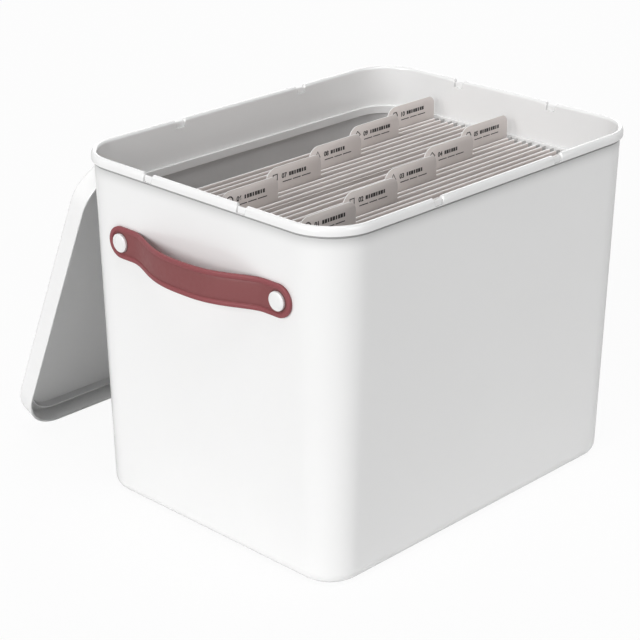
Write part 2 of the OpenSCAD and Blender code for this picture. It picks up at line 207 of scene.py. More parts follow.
def in_group(tree, group, inputs):
    """The outputs of a group placed in a material with its own values."""
    return wired(tree, "ShaderNodeGroup", inputs, node_tree=group).outputs


def object_place(tree):
    return wired(tree, "ShaderNodeTexCoord").outputs["Object"]


def stretched(tree, along_x):
    """Object coordinates that run slower along X, so that marks lie along the piece."""
    sizes = {"Vector": object_place(tree), "Scale": (along_x, 1.0, 1.0)}
    return wired(tree, "ShaderNodeMapping", sizes).outputs["Vector"]


def noise(tree, scale, detail, place):
    return wired(tree, "ShaderNodeTexNoise", {"Scale": scale, "Detail": detail, "Vector": place}).outputs["Fac"]


def ranged(tree, value, low, high, to_low, to_high):
    """value's stretch from low to high laid over to_low to to_high."""
    limits = {"Value": value, "From Min": low, "From Max": high, "To Min": to_low, "To Max": to_high}
    return wired(tree, "ShaderNodeMapRange", limits).outputs["Result"]


def mixed(tree, mask, first, second):
    """A colour from first to second as the mask goes from 0 to 1; each is three numbers or a socket."""
    first, second = (c if isinstance(c, bpy.types.NodeSocket) else (*c, 1.0) for c in (first, second))
    return wired(tree, "ShaderNodeMix", {0: mask, 6: first, 7: second}, data_type="RGBA").outputs[2]


def relief(tree, height, strength, distance):
    return wired(tree, "ShaderNodeBump", {
        "Height": height, "Strength": strength, "Distance": distance,
    }).outputs["Normal"]


def attribute(tree, name):
    return wired(tree, "ShaderNodeAttribute", attribute_name=name).outputs["Fac"]


def surfaced(tree, inputs):
    """Closes a material with a Principled shader that has these inputs."""
    shader = wired(tree, "ShaderNodeBsdfPrincipled", inputs)
    wired(tree, "ShaderNodeOutputMaterial", {"Surface": shader.outputs[0]})


mould_grain, inputs = make_group(
    "mould_grain",
    {"Grain": 1400.0, "Rough Low": 0.34, "Rough High": 0.44},
    {"Height": "Float", "Roughness": "Float", "Cloud": "Float"},
)
place = object_place(mould_grain)
scuff = noise(mould_grain, 24.0, 2.0, place)
wired(mould_grain, "NodeGroupOutput", {
    "Height": noise(mould_grain, inputs["Grain"], 2.0, place),
    "Roughness": ranged(mould_grain, scuff, 0.2, 0.8, inputs["Rough Low"], inputs["Rough High"]),
    "Cloud": noise(mould_grain, 9.0, 4.0, place),
})
# Painted shade: a flat grey mixed into the clean colour by a per-point amount.
painted_seam_shade, inputs = make_group("painted_seam_shade", {"Clean": SHADE_GREY, "Painted Shade": SHADE_GREY, "Seam": 0.0}, {"Colour": "Color"})
shaded_colour = mixed(painted_seam_shade, inputs["Seam"], inputs["Clean"], inputs["Painted Shade"])
wired(painted_seam_shade, "NodeGroupOutput", {"Colour": shaded_colour})


def moulded_plastic(name, tones, grain, rough, bump, with_painted_shade=False):
    """Satin plastic with a fine grain and faint clouding; painted shade greys it where a per-point attribute asks for
    it.
    """
    material, tree = new_material(name)
    surface = in_group(tree, mould_grain, {"Grain": grain, "Rough Low": rough[0], "Rough High": rough[1]})
    colour = mixed(tree, surface["Cloud"], *tones)
    if with_painted_shade:
        painted_shade = attribute(tree, "painted_shade")
        colour = in_group(tree, painted_seam_shade, {"Clean": colour, "Painted Shade": SHADE_GREY, "Seam": painted_shade})["Colour"]
    surfaced(tree, {
        "Base Color": colour,
        "Roughness": surface["Roughness"],
        "Normal": relief(tree, surface["Height"], bump, 0.05 * MM),
        "IOR": 1.49,
        "Specular IOR Level": 0.75,
    })
    return material


def outline(half_x, half_y, corner, along_x, along_y):
    """Points of a rounded rectangle, anticlockwise, with stations on its straight sides."""
    points = [(half_x, y) for y in along_y]
    sides = (
        (1, 1, [(x, half_y) for x in reversed(along_x)]),
        (-1, 1, [(-half_x, y) for y in reversed(along_y)]),
        (-1, -1, [(x, -half_y) for x in along_x]),
        (1, -1, []),
    )
    for start, (sx, sy, side) in enumerate(sides):
        centre_x, centre_y = sx * (half_x - corner), sy * (half_y - corner)
        for turn in np.linspace(0.0, 0.5 * math.pi, CORNER_STEPS + 1) + 0.5 * math.pi * start:
            points.append((centre_x + corner * math.cos(turn), centre_y + corner * math.sin(turn)))
        points += side
    return np.array(points)


def lofted(rings, closed=False):
    """Quads between rings of equal count; a closed loft joins its last ring to its first."""
    count = len(rings[0])
    faces = []
    for row in range(len(rings) if closed else len(rings) - 1):
        near, far = row * count, (row + 1) % len(rings) * count
        faces += [(near + i, near + (i + 1) % count, far + (i + 1) % count, far + i) for i in range(count)]
    return faces


def capped(rings):
    """Points and faces of a loft with a face over each end."""
    points = np.vstack(rings)
    count = len(rings[0])
    ends = [tuple(range(count))[::-1], tuple(range(len(points) - count, len(points)))]
    return points, lofted(rings) + ends


def block(low, high):
    """Corner points and faces of an upright block."""
    points = [(x, y, z) for z in (low[2], high[2]) for y in (low[1], high[1]) for x in (low[0], high[0])]
    faces = [(0, 2, 3, 1), (4, 5, 7, 6), (0, 1, 5, 4), (2, 6, 7, 3), (0, 4, 6, 2), (1, 3, 7, 5)]
    return points, faces


def add_part(points, faces, more_points, more_faces):
    """The two lists of a mesh with another mesh's points and faces added."""
    start = len(points)
    return list(points) + list(more_points), faces + [tuple(i + start for i in f) for f in more_faces]


def finish_mesh(name, points, faces, material, sharp=32.0, merge=0.0):
    """A smooth mesh object with outward faces, its edges sharp past an angle in degrees."""
    mesh = bpy.data.meshes.new(name)
    mesh.from_pydata([tuple(p) for p in points], [], faces)
    build = bmesh.new()
    build.from_mesh(mesh)
    if merge:
        bmesh.ops.remove_doubles(build, verts=build.verts, dist=merge)
        bmesh.ops.dissolve_degenerate(build, edges=build.edges, dist=merge)
    bmesh.ops.recalc_face_normals(build, faces=build.faces)
    build.to_mesh(mesh)
    build.free()
    mesh.polygons.foreach_set("use_smooth", [True] * len(mesh.polygons))
    mesh.set_sharp_from_angle(angle=math.radians(sharp))
    mesh.materials.append(material)
    piece = bpy.data.objects.new(name, mesh)
    bpy.context.scene.collection.objects.link(piece)
    return piece


def store(piece, name, values, domain="POINT"):
    """Keeps a number for each of a mesh's first points or corners, and 0 for the rest, as an attribute."""
    data = piece.data.attributes.new(name, "FLOAT", domain).data
    data.foreach_set("value", np.append(values, np.zeros(len(data) - len(values))))


def steadied(rows, beside=0.2 * MM, longest=1.2 * MM):
    """Profile rows with one more row close to each end of a long straight, so that it shades flat."""
    out = [rows[0]]
    for (z0, inset0), (z1, inset1) in zip(rows, rows[1:]):
        length = math.hypot(z1 - z0, inset1 - inset0)
        if length > longest:
            for share in (beside / length, 1 - beside / length):
                out.append((z0 + (z1 - z0) * share, inset0 + (inset1 - inset0) * share))
        out.append((z1, inset1))
    return out


def wall_half(z):
    """Half length and half width of the tub's outer wall at a height."""
    drawn_in = LIP_OUTSET + WALL_LEAN * (TUB_HEIGHT - z) / TUB_HEIGHT
    return TUB_LENGTH / 2 - drawn_in, TUB_WIDTH / 2 - drawn_in


def wall_corner(z):
    return BASE_CORNER + (LIP_CORNER - LIP_OUTSET - BASE_CORNER) * z / TUB_HEIGHT


def stations(plain, notch):
    """Places along a straight side in metres: the plain ones, and a close row across each notch."""
    offsets = [side * d for side in (-1, 1) for d in NOTCH_OFFSETS] + [0.0]
    return sorted([x * MM for x in plain] + [side * notch + d * MM for side in (-1, 1) for d in offsets])


def notch_mask(points, width, edge):
    """1 inside the eight notches, falling to 0 over an edge, for every point of an outline."""
    x, y = np.abs(points[:, 0]), np.abs(points[:, 1])
    in_end = np.clip(1.0 - (np.abs(y - END_NOTCH) - width / 2) / edge, 0.0, 1.0)
    in_side = np.clip(1.0 - (np.abs(x - SIDE_NOTCH) - width / 2) / edge, 0.0, 1.0)
    on_end, on_side = x > SIDE_STRAIGHT, y > END_STRAIGHT
    return np.where(on_end & ~on_side, in_end, np.where(on_side & ~on_end, in_side, 0.0))


def painted_shade_at(z, inset):
    """How much painted shade a row of the profile gets: full in the neck, fading below the lip and below the frame."""
    outside = inset < WALL / 2
    if outside and neck_foot - 0.1 * MM < z < lip_foot + 0.1 * MM and inset > 0.05 * MM:
        return 1.0
    depth = (neck_foot - z) / LIP_SHADE if outside else (frame_low.z - z) / FRAME_SHADE
    if not 0 <= depth < 1:
        return 0.0
    return LIP_SHADE_DARKNESS * (1 - depth) ** 2.2 if outside else FRAME_SHADE_DARKNESS * (1 - depth)


crown_middle = (WALL - LIP_OUTSET) / 2
lip_foot = TUB_HEIGHT - LIP_HEIGHT
neck_foot = lip_foot - NECK_HEIGHT
inner_round = BASE_ROUND - WALL
quarter = [math.radians(a) for a in range(0, 91, 10)]
tub_rows = [(BASE_ROUND * (1 - math.cos(a)), BASE_ROUND * (1 - math.sin(a))) for a in quarter]
tub_rows += [(z * MM, 0.0) for z in (50, 100, 150, 200, 250)]
tub_rows += [(neck_foot - LIP_SHADE * share, 0.0) for share in (1.1, 1.0, 0.8, 0.6, 0.45, 0.3, 0.18, 0.08)]
tub_rows += [
    (neck_foot - 0.25 * MM, 0.0),
    (neck_foot - 0.07 * MM, 0.07 * MM),
    (neck_foot, 0.25 * MM),
    (neck_foot, NECK_DEPTH - 0.2 * MM),
    (neck_foot + 0.2 * MM, NECK_DEPTH),
    (lip_foot - 0.2 * MM, NECK_DEPTH),
    (lip_foot, NECK_DEPTH - 0.2 * MM),
    (lip_foot, 0.8 * MM - LIP_OUTSET),
    (lip_foot + 0.22 * MM, 0.24 * MM - LIP_OUTSET),
    (lip_foot + 0.55 * MM, -LIP_OUTSET),
    (RECESS_FOOT - 0.03 * MM, -LIP_OUTSET),
    (RECESS_FOOT + 0.03 * MM, -LIP_OUTSET),
]
tub_rows += [(TUB_HEIGHT - LIP_SHOULDER * (1 - math.sin(a)), -LIP_OUTSET * math.cos(a)) for a in quarter]
tub_rows += [(TUB_HEIGHT - LIP_OUTSET * (1 - math.cos(a)), WALL - LIP_OUTSET * (1 - math.sin(a))) for a in quarter]
tub_rows += [
    (RECESS_FOOT + 0.05 * MM, WALL),
    (RECESS_FOOT - 0.05 * MM, WALL),
    (286 * MM, WALL),
    (frame_low.z + 0.2 * MM, WALL),
    (frame_low.z - 0.2 * MM, WALL),
]
tub_rows += [(frame_low.z - FRAME_SHADE * share, WALL) for share in (0.2, 0.4, 0.6, 0.8, 1.0)]
tub_rows += [(z * MM, WALL) for z in (150, 100, 50)]
tub_rows += [
    (FLOOR_THICKNESS + inner_round * (1 - math.sin(a)), WALL + inner_round * (1 - math.cos(a))) for a in quarter
]
tub_along_x = stations((-140, -120, -100, -50, -25, 0, 25, 50, 100, 120, 140), SIDE_NOTCH)
tub_along_y = stations((-100, -80, -26, 0, 26, 80, 100), END_NOTCH)
tub_rings = []
tub_shade = []
for z, inset in steadied(tub_rows):
    half_x, half_y = wall_half(z)
    ring = outline(half_x - inset, half_y - inset, wall_corner(z) - inset, tub_along_x, tub_along_y)
    heights = np.full(len(ring), z)
    row_shade = np.full(len(ring), painted_shade_at(z, inset))
    if z > RECESS_FOOT:
        inset = crown_middle + (inset - crown_middle) * NOTCH_WEB / (WALL + LIP_OUTSET)
        pinched = outline(half_x - inset, half_y - inset, wall_corner(z) - inset, tub_along_x, tub_along_y)
        notch = notch_mask(ring, NOTCH_WIDTH, NOTCH_EDGE)
        heights -= DIP_DEPTH * notch_mask(ring, DIP_WIDTH, DIP_EDGE) * min(1.0, (z - RECESS_FOOT) / DIP_RISE)
        # Painted shade: dark lines on each notch's side steps and along the foot of its recess.
        around = notch_mask(ring, NOTCH_WIDTH + 0.6 * MM, 0.02 * MM)
        within = notch_mask(ring, NOTCH_WIDTH - 0.1 * MM, 0.02 * MM)
        row_shade = np.maximum(NOTCH_STEP_SHADE * (around - within), NOTCH_RECESS_SHADE * notch * (z < RECESS_FOOT + 0.1 * MM))
        ring = ring * (1 - notch[:, None]) + pinched * notch[:, None]
    tub_rings.append(np.column_stack([ring, heights]))
    tub_shade.append(row_shade)
tub_points, tub_faces = capped(tub_rings)
rib_root = wall_half(RIB_TOP)[0] - WALL
for side in (-1, 1):
    reach = sorted((side * (rib_root + 0.5 * MM), side * (rib_root - RIB_REACH)))
    for middle in (-RIB_PLACE, RIB_PLACE):
        tub_points, tub_faces = add_part(tub_points, tub_faces, *block(
            (reach[0], middle - RIB_WIDTH / 2, RIB_TOP - RIB_HEIGHT),
            (reach[1], middle + RIB_WIDTH / 2, RIB_TOP),
        ))
tub_plastic = moulded_plastic("tub_plastic", PLASTIC_WHITE, grain=1400.0, rough=(0.17, 0.2), bump=0.06, with_painted_shade=True)
tub = finish_mesh("moulded_tub", tub_points, tub_faces, tub_plastic)
store(tub, "painted_shade", np.concatenate(tub_shade))
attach(tub, "box")
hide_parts("box_shell")

# Hanging frame: a separate white ring that drops in on the tub's ribs, a little below the rim.
# An upright band follows the wall, and a rail at each end carries the hooks of the files.
BAND_WALL = 2.2 * MM
BAND_EDGE = 0.5 * MM
BAND_GAP = 0.36 * MM
RAIL_WIDTH = 8.0 * MM
RAIL_THICKNESS = 2.0 * MM
RAIL_HALF = 100.0 * MM
band_rows = []
for inset, z, toward, up in (
    (0.0, frame_low.z, 1, 1),
    (0.0, frame_high.z, 1, -1),
    (BAND_WALL, frame_high.z, -1, -1),
    (BAND_WALL, frame_low.z, -1, 1),
):
    for a in quarter[::3] if toward == up else quarter[::-3]:
        band_rows.append((z + up * BAND_EDGE * (1 - math.cos(a)), inset + toward * BAND_EDGE * (1 - math.sin(a))))
band_corner = wall_corner(frame_low.z) - WALL - BAND_GAP
band_along_x = [x * MM for x in (-138, 0, 138)]
band_along_y = [y * MM for y in (-96, 0, 96)]
band_rings = []
for z, inset in steadied(band_rows + band_rows[:1])[:-1]:
    ring = outline(frame_high.x - inset, frame_high.y - inset, band_corner - inset, band_along_x, band_along_y)
    band_rings.append(np.column_stack([ring, np.full(len(ring), z)]))
frame_points, frame_faces = np.vstack(band_rings), lofted(band_rings, closed=True)
for side in (-1, 1):
    reach = sorted((side * (frame_high.x - BAND_WALL / 2), side * (frame_high.x - BAND_WALL - RAIL_WIDTH)))
    frame_points, frame_faces = add_part(frame_points, frame_faces, *block(
        (reach[0], -RAIL_HALF, frame_low.z), (reach[1], RAIL_HALF, frame_low.z + RAIL_THICKNESS),
    ))
frame_plastic = moulded_plastic("frame_plastic", PLASTIC_WHITE, grain=1600.0, rough=(0.22, 0.27), bump=0.08)
hanging_frame = finish_mesh("hanging_frame_ring", frame_points, frame_faces, frame_plastic)
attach(hanging_frame, "frame")
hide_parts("hanging_frame")

# Lid: a shallow white tray with rounded edges and a ring inside that plugs the rim when closed.
# It is lofted flat, rim up, and then leaned against the far long side of the tub.
LID_WALL = 2.2 * MM
LID_GAP = 0.8 * MM
LID_DEPTH = 19.0 * MM
LID_CORNER = 42.0 * MM
LID_ROUND = 4.0 * MM
LID_LEAN = 0.6 * MM
PLUG_HEIGHT = 7.0 * MM
PLUG_WALL = 1.6 * MM
PLUG_GAP = 0.4 * MM
# Grey share of the painted shade on the plug ring's inner face.
RING_SHADE = 0.4
LEAN_DROP = 26.3 * MM
LEAN_SHIFT = 23.5 * MM
LEAN_GAP = 0.4 * MM
LEAN_STEEPEST = 0.94
lid_length = TUB_LENGTH + 2 * (LID_WALL + LID_GAP)
lid_width = TUB_WIDTH + 2 * (LID_WALL + LID_GAP)
lid_inner_round = LID_ROUND - LID_WALL / 2
lid_inside = LID_WALL - LID_DEPTH
plug_top = lid_inside + PLUG_HEIGHT
plug_outer = LID_WALL + LID_GAP + WALL + LIP_OUTSET + PLUG_GAP
plug_inner = plug_outer + PLUG_WALL
lid_rows = [(-LID_DEPTH + LID_ROUND * (1 - math.cos(a)), LID_ROUND * (1 - math.sin(a))) for a in quarter]
lid_rows += [
    (-8.0 * MM, 0.0),
    (-0.8 * MM, 0.0),
    (-0.25 * MM, 0.2 * MM),
    (0.0, 0.7 * MM),
    (0.0, LID_WALL - 0.7 * MM),
    (-0.25 * MM, LID_WALL - 0.2 * MM),
    (-0.8 * MM, LID_WALL),
    (-8.0 * MM, LID_WALL),
]
lid_rows += [
    (lid_inside + lid_inner_round * (1 - math.sin(a)), LID_WALL + lid_inner_round * (1 - math.cos(a))) for a in quarter
]
lid_rows += [
    (lid_inside, plug_outer - 0.5 * MM),
    (lid_inside + 0.4 * MM, plug_outer),
    (plug_top - 0.5 * MM, plug_outer),
    (plug_top, plug_outer + 0.4 * MM),
    (plug_top, plug_inner - 0.4 * MM),
    (plug_top - 0.4 * MM, plug_inner),
    (lid_inside + 0.4 * MM, plug_inner),
    (lid_inside, plug_inner + 0.5 * MM),
]
lid_along_x = [x * MM for x in (-140, -90, -45, 0, 45, 90, 140)]
lid_along_y = [y * MM for y in (-100, -50, 0, 50, 100)]
lid_rings = []
lid_shade = []
for z, inset in steadied(lid_rows):
    # Painted shade: the inner face of the plug ring is greyed into a darker band.
    on_ring = lid_inside + 0.1 * MM < z < plug_top - 0.3 * MM and inset > plug_outer - 0.1 * MM
    inset -= LID_LEAN * z / LID_DEPTH
    ring = outline(lid_length / 2 - inset, lid_width / 2 - inset, LID_CORNER - inset, lid_along_x, lid_along_y)
    lid_rings.append(np.column_stack([ring, np.full(len(ring), z)]))
    lid_shade.append(np.full(len(ring), RING_SHADE if on_ring else 0.0))
lid_points, lid_faces = capped(lid_rings)
lean_angle = math.asin(min((TUB_HEIGHT - LEAN_DROP) / lid_width, LEAN_STEEPEST))
lean_top = lid_width * math.sin(lean_angle)
lean_foot = wall_half(lean_top)[1] + LEAN_GAP + lid_width * math.cos(lean_angle)
lid_turn = (
    Matrix.Translation((LEAN_SHIFT, lean_foot, 0.0))
    @ Matrix.Rotation(math.pi - lean_angle, 4, "X")
    @ Matrix.Translation((0.0, lid_width / 2, 0.0))
)
lid_plastic = moulded_plastic("lid_plastic", PLASTIC_WHITE, grain=1500.0, rough=(0.22, 0.27), bump=0.08, with_painted_shade=True)
lid = finish_mesh("leaning_lid", [lid_turn @ Vector(p) for p in lid_points], lid_faces, lid_plastic)
store(lid, "painted_shade", np.concatenate(lid_shade))
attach(lid, "lid")
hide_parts("lid")

# Strap handles: supple dark rose straps, one on each end wall, flat at the rivets and bowed between.
# Loops run inwards from the strap's edge, so the raised border follows the round ends, and a ring of
# painted shade darkens the panel round the rivets.
STRAP_WIDTH = 27.0 * MM
STRAP_THICKNESS = 3.0 * MM
STRAP_EDGE = 0.9 * MM
STRAP_BOW = 17.5 * MM
STRAP_FULLNESS = 2.7
STRAP_SAG = 0.5 * MM
STRAP_FLAT = 14.0 * MM
STRAP_SEAT = 0.05 * MM
PANEL_DEPTH = 0.8 * MM
BORDER_WIDTH = 4.0 * MM
RIVET_PLACE = 88.5 * MM
RIVET_HEIGHT = TUB_HEIGHT - 66.0 * MM
PANEL_ROSE = ((0.195, 0.050, 0.052), (0.232, 0.063, 0.065))
BORDER_ROSE = ((0.232, 0.051, 0.058), (0.262, 0.062, 0.070))
# Colour of the painted shade round the rivet heads.
RIVET_SHADE_ROSE = (0.05, 0.012, 0.013)
strap_bend = RIVET_PLACE - STRAP_FLAT
wall_tilt = math.atan(WALL_LEAN / TUB_HEIGHT)


def on_end_wall(end):
    """Places what is drawn with x out of the wall, y along it and z up it; end is 1 for +X and -1 for -X."""
    return (
        Matrix.Rotation(0.0 if end > 0 else math.pi, 4, "Z")
        @ Matrix.Translation((wall_half(RIVET_HEIGHT)[0], 0.0, RIVET_HEIGHT))
        @ Matrix.Rotation(wall_tilt, 4, "Y")
    )


def strap_bump(y):
    return (1 - (abs(y) / strap_bend) ** STRAP_FULLNESS) ** 2 if abs(y) < strap_bend else 0.0


def strap_point(along, across, height):
    """A point of the strap from its place along and across the flat strap and its height off the back."""
    step = 0.5 * MM
    slope = STRAP_BOW * (strap_bump(along + step) - strap_bump(along - step)) / (2 * step)
    length = math.hypot(1.0, slope)
    return (
        STRAP_SEAT + STRAP_BOW * strap_bump(along) + height / length,
        along - height * slope / length,
        across - STRAP_SAG * strap_bump(along),
    )


def strap_loop(inset, height):
    """One loop round the strap at a distance in from its edge."""
    radius = STRAP_WIDTH / 2 - inset
    run = np.linspace(-RIVET_PLACE, RIVET_PLACE, 97)
    turns = np.linspace(-0.5 * math.pi, 0.5 * math.pi, 25)[1:-1]
    loop = [(y, -radius) for y in run]
    loop += [(RIVET_PLACE + radius * math.cos(a), radius * math.sin(a)) for a in turns]
    loop += [(y, radius) for y in reversed(run)]
    loop += [(-RIVET_PLACE - radius * math.cos(a), -radius * math.sin(a)) for a in turns]
    return np.array([strap_point(y, z, height) for y, z in loop])


panel = STRAP_THICKNESS - PANEL_DEPTH
strap_middle = STRAP_WIDTH / 2 - 0.01 * MM
strap_profile = [(strap_middle, 0.0), (3.0 * MM, 0.0)]
strap_profile += [(STRAP_EDGE * (1 - math.sin(a)), STRAP_EDGE * (1 - math.cos(a))) for a in quarter[::2]]
strap_profile += [
    (STRAP_EDGE * (1 - math.cos(a)), STRAP_THICKNESS - STRAP_EDGE * (1 - math.sin(a))) for a in quarter[::2]
]
strap_profile += [
    (1.7 * MM, STRAP_THICKNESS),
    (2.9 * MM, STRAP_THICKNESS - 0.02 * MM),
    (3.3 * MM, STRAP_THICKNESS - 0.12 * MM),
    (3.6 * MM, STRAP_THICKNESS - 0.45 * MM),
    (3.8 * MM, panel - 0.3 * MM),
    (4.1 * MM, panel - 0.42 * MM),
    (4.5 * MM, panel - 0.3 * MM),
    (5.1 * MM, panel - 0.05 * MM),
    (6.0 * MM, panel + 0.03 * MM),
    (9.5 * MM, panel + 0.14 * MM),
    (strap_middle, panel + 0.18 * MM),
]

leather, tree = new_material("strap_leather")
place = object_place(tree)
pores = wired(tree, "ShaderNodeTexVoronoi", {"Scale": 900.0, "Vector": place}).outputs["Distance"]
creases = noise(tree, 260.0, 5.0, place)
clouds = noise(tree, 22.0, 3.0, place)
height = wired(tree, "ShaderNodeMath", {0: pores, 1: 0.6, 2: creases}, operation="MULTIPLY_ADD")
both_ends = wired(tree, "ShaderNodeVectorMath", {0: place}, operation="ABSOLUTE")
from_rivet = wired(tree, "ShaderNodeVectorMath", {
    0: both_ends.outputs[0], 1: (0.0, RIVET_PLACE, RIVET_HEIGHT),
}, operation="SUBTRACT")
on_wall = wired(tree, "ShaderNodeVectorMath", {0: from_rivet.outputs[0], 1: (0.0, 1.0, 1.0)}, operation="MULTIPLY")
away = wired(tree, "ShaderNodeVectorMath", {0: on_wall.outputs[0]}, operation="LENGTH").outputs["Value"]
# Painted shade: a dark ring on the panel just round each rivet head.
rivet_shade = ranged(tree, away, 7.9 * MM, 9.3 * MM, 0.75, 0.0)
tone = mixed(tree, attribute(tree, "border"), mixed(tree, clouds, *PANEL_ROSE), mixed(tree, clouds, *BORDER_ROSE))
surfaced(tree, {
    "Base Color": mixed(tree, rivet_shade, tone, RIVET_SHADE_ROSE),
    "Roughness": ranged(tree, creases, 0.3, 0.7, 0.5, 0.62),
    "Normal": relief(tree, height.outputs[0], 0.35, 0.12 * MM),
})

for end, side_name in ((-1, "left"), (1, "right")):
    wall = on_end_wall(end)
    loops = [strap_loop(inset, height_off) for inset, height_off in strap_profile]
    points = [wall @ Vector(p) for p in np.vstack(loops)]
    strap = finish_mesh(f"strap_{side_name}_leather", points, lofted(loops), leather, sharp=60.0, merge=0.03 * MM)
    raised = []
    for vertex in strap.data.vertices:
        _, along, across = wall.inverted() @ vertex.co
        past = max(0.0, abs(along) - RIVET_PLACE)
        inset = STRAP_WIDTH / 2 - math.hypot(past, across + STRAP_SAG * strap_bump(along))
        raised.append(min(1.0, max(0.0, (BORDER_WIDTH - inset) / (0.5 * MM))))
    store(strap, "border", raised)
    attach(strap, "box")
    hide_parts(f"strap_{side_name}")

# Rivets and washers: each strap end is held by a domed white rivet with a steel washer inside the wall.
# One node tree sets a domed head, a shank and a clenched foot at each of the four places.
HEAD_DIAMETER = 15.5 * MM
HEAD_HEIGHT = 2.2 * MM
RIM_SHARE = 0.35
SHANK_DIAMETER = 6.0 * MM
WASHER_THICKNESS = 1.2 * MM
CLENCH_REACH = 1.2 * MM
CLENCH_SPREAD = 0.72
CLENCH_SQUASH = (1.0, 1.0, 0.28)
RIVET_WHITE = ((0.86, 0.86, 0.855), (0.88, 0.88, 0.878))
rivet_sizes = {
    "Head Diameter": HEAD_DIAMETER,
    "Rim Depth": RIM_SHARE * HEAD_HEIGHT + PANEL_DEPTH,
    "Dome Height": (1 - RIM_SHARE) * HEAD_HEIGHT,
    "Shank Diameter": SHANK_DIAMETER,
    "Head Foot": STRAP_THICKNESS - PANEL_DEPTH + 2 * STRAP_SEAT,
    "Shank Reach": WALL + WASHER_THICKNESS + 2 * STRAP_SEAT + CLENCH_REACH,
}


def make_tree(name, sizes):
    """A Geometry Nodes tree with a geometry input and output and named sizes, and its inputs."""
    tree = bpy.data.node_groups.new(name, "GeometryNodeTree")
    tree.interface.new_socket("Geometry", in_out="INPUT", socket_type="NodeSocketGeometry")
    tree.interface.new_socket("Geometry", in_out="OUTPUT", socket_type="NodeSocketGeometry")
    for label in sizes:
        tree.interface.new_socket(label, in_out="INPUT", socket_type="NodeSocketFloat")
    return tree, wired(tree, "NodeGroupInput").outputs


def reckon(tree, operation, first, second):
    return wired(tree, "ShaderNodeMath", {0: first, 1: second}, operation=operation).outputs[0]


def lifted(tree, mesh, height, **sizes):
    """A mesh moved out along +Z by a height."""
    lift = wired(tree, "ShaderNodeCombineXYZ", {"Z": height})
    return wired(tree, "GeometryNodeTransform", {"Geometry": mesh, "Translation": lift.outputs[0], **sizes})


def end_tree(tree, geometry, material):
    """Closes a tree: real meshes from the instances, smooth faces and the material."""
    real = wired(tree, "GeometryNodeRealizeInstances", {"Geometry": geometry})
    shade = wired(tree, "GeometryNodeSetShadeSmooth", {"Geometry": real.outputs[0], "Shade Smooth": True})
    dressed = wired(tree, "GeometryNodeSetMaterial", {"Geometry": shade.outputs[0], "Material": material})
    wired(tree, "NodeGroupOutput", {"Geometry": dressed.outputs[0]})


def grow(name, tree, sizes, points, facings):
    """Runs a tree on loose points that each face a way, and returns the result as a plain mesh object."""
    seed_mesh = bpy.data.meshes.new(name + "_seed")
    seed_mesh.from_pydata([tuple(p) for p in points], [], [])
    facing = seed_mesh.attributes.new("facing", "FLOAT_VECTOR", "POINT")
    facing.data.foreach_set("vector", [c for way in facings for c in way])
    seed = bpy.data.objects.new(name + "_seed", seed_mesh)
    bpy.context.scene.collection.objects.link(seed)
    modifier = seed.modifiers.new(name, "NODES")
    modifier.node_group = tree
    for item in tree.interface.items_tree:
        if item.in_out == "INPUT" and item.name in sizes:
            modifier[item.identifier] = sizes[item.name]
    bpy.context.view_layer.update()
    mesh = bpy.data.meshes.new_from_object(seed.evaluated_get(bpy.context.evaluated_depsgraph_get()))
    mesh.name = name
    mesh.set_sharp_from_angle(angle=math.radians(32.0))
    seed.modifiers.remove(modifier)
    bpy.data.objects.remove(seed)
    piece = bpy.data.objects.new(name, mesh)
    bpy.context.scene.collection.objects.link(piece)
    return piece


tree, sizes = make_tree("rivet", rivet_sizes)
head_foot, rim_depth, shank_reach = sizes["Head Foot"], sizes["Rim Depth"], sizes["Shank Reach"]
head_radius = reckon(tree, "MULTIPLY", sizes["Head Diameter"], 0.5)
dome_size = wired(tree, "ShaderNodeCombineXYZ", {"X": head_radius, "Y": head_radius, "Z": sizes["Dome Height"]})
ball = wired(tree, "GeometryNodeMeshUVSphere", {"Segments": 64, "Rings": 32, "Radius": 1.0})
rim_top = reckon(tree, "ADD", head_foot, rim_depth)
dome = lifted(tree, ball.outputs["Mesh"], rim_top, Scale=dome_size.outputs[0])
rim = wired(tree, "GeometryNodeMeshCylinder", {"Vertices": 64, "Radius": head_radius, "Depth": rim_depth})
rim_middle = reckon(tree, "ADD", head_foot, reckon(tree, "MULTIPLY", rim_depth, 0.5))
rim_up = lifted(tree, rim.outputs["Mesh"], rim_middle)
shank = wired(tree, "GeometryNodeMeshCylinder", {
    "Vertices": 32,
    "Radius": reckon(tree, "MULTIPLY", sizes["Shank Diameter"], 0.5),
    "Depth": reckon(tree, "ADD", shank_reach, head_foot),
})
shank_middle = reckon(tree, "MULTIPLY", reckon(tree, "SUBTRACT", head_foot, shank_reach), 0.5)
shank_in = lifted(tree, shank.outputs["Mesh"], shank_middle)
clench = wired(tree, "GeometryNodeMeshUVSphere", {
    "Segments": 32, "Rings": 16, "Radius": reckon(tree, "MULTIPLY", sizes["Shank Diameter"], CLENCH_SPREAD),
})
clench_drop = reckon(tree, "MULTIPLY", shank_reach, -0.8)
clench_in = lifted(tree, clench.outputs["Mesh"], clench_drop, Scale=CLENCH_SQUASH)
rivet = wired(tree, "GeometryNodeJoinGeometry")
for part in (dome, rim_up, shank_in, clench_in):
    tree.links.new(part.outputs[0], rivet.inputs[0])
way = wired(tree, "GeometryNodeInputNamedAttribute", {"Name": "facing"}, data_type="FLOAT_VECTOR")
turn = wired(tree, "FunctionNodeAlignRotationToVector", {"Vector": way.outputs["Attribute"]}, axis="Z")
placed = wired(tree, "GeometryNodeInstanceOnPoints", {
    "Points": sizes["Geometry"], "Instance": rivet.outputs[0], "Rotation": turn.outputs["Rotation"],
})
rivet_plastic = moulded_plastic("rivet_plastic", RIVET_WHITE, grain=2200.0, rough=(0.22, 0.32), bump=0.12)
end_tree(tree, placed.outputs[0], rivet_plastic)
rivet_spots = [(on_end_wall(end), side * RIVET_PLACE) for end in (-1, 1) for side in (-1, 1)]
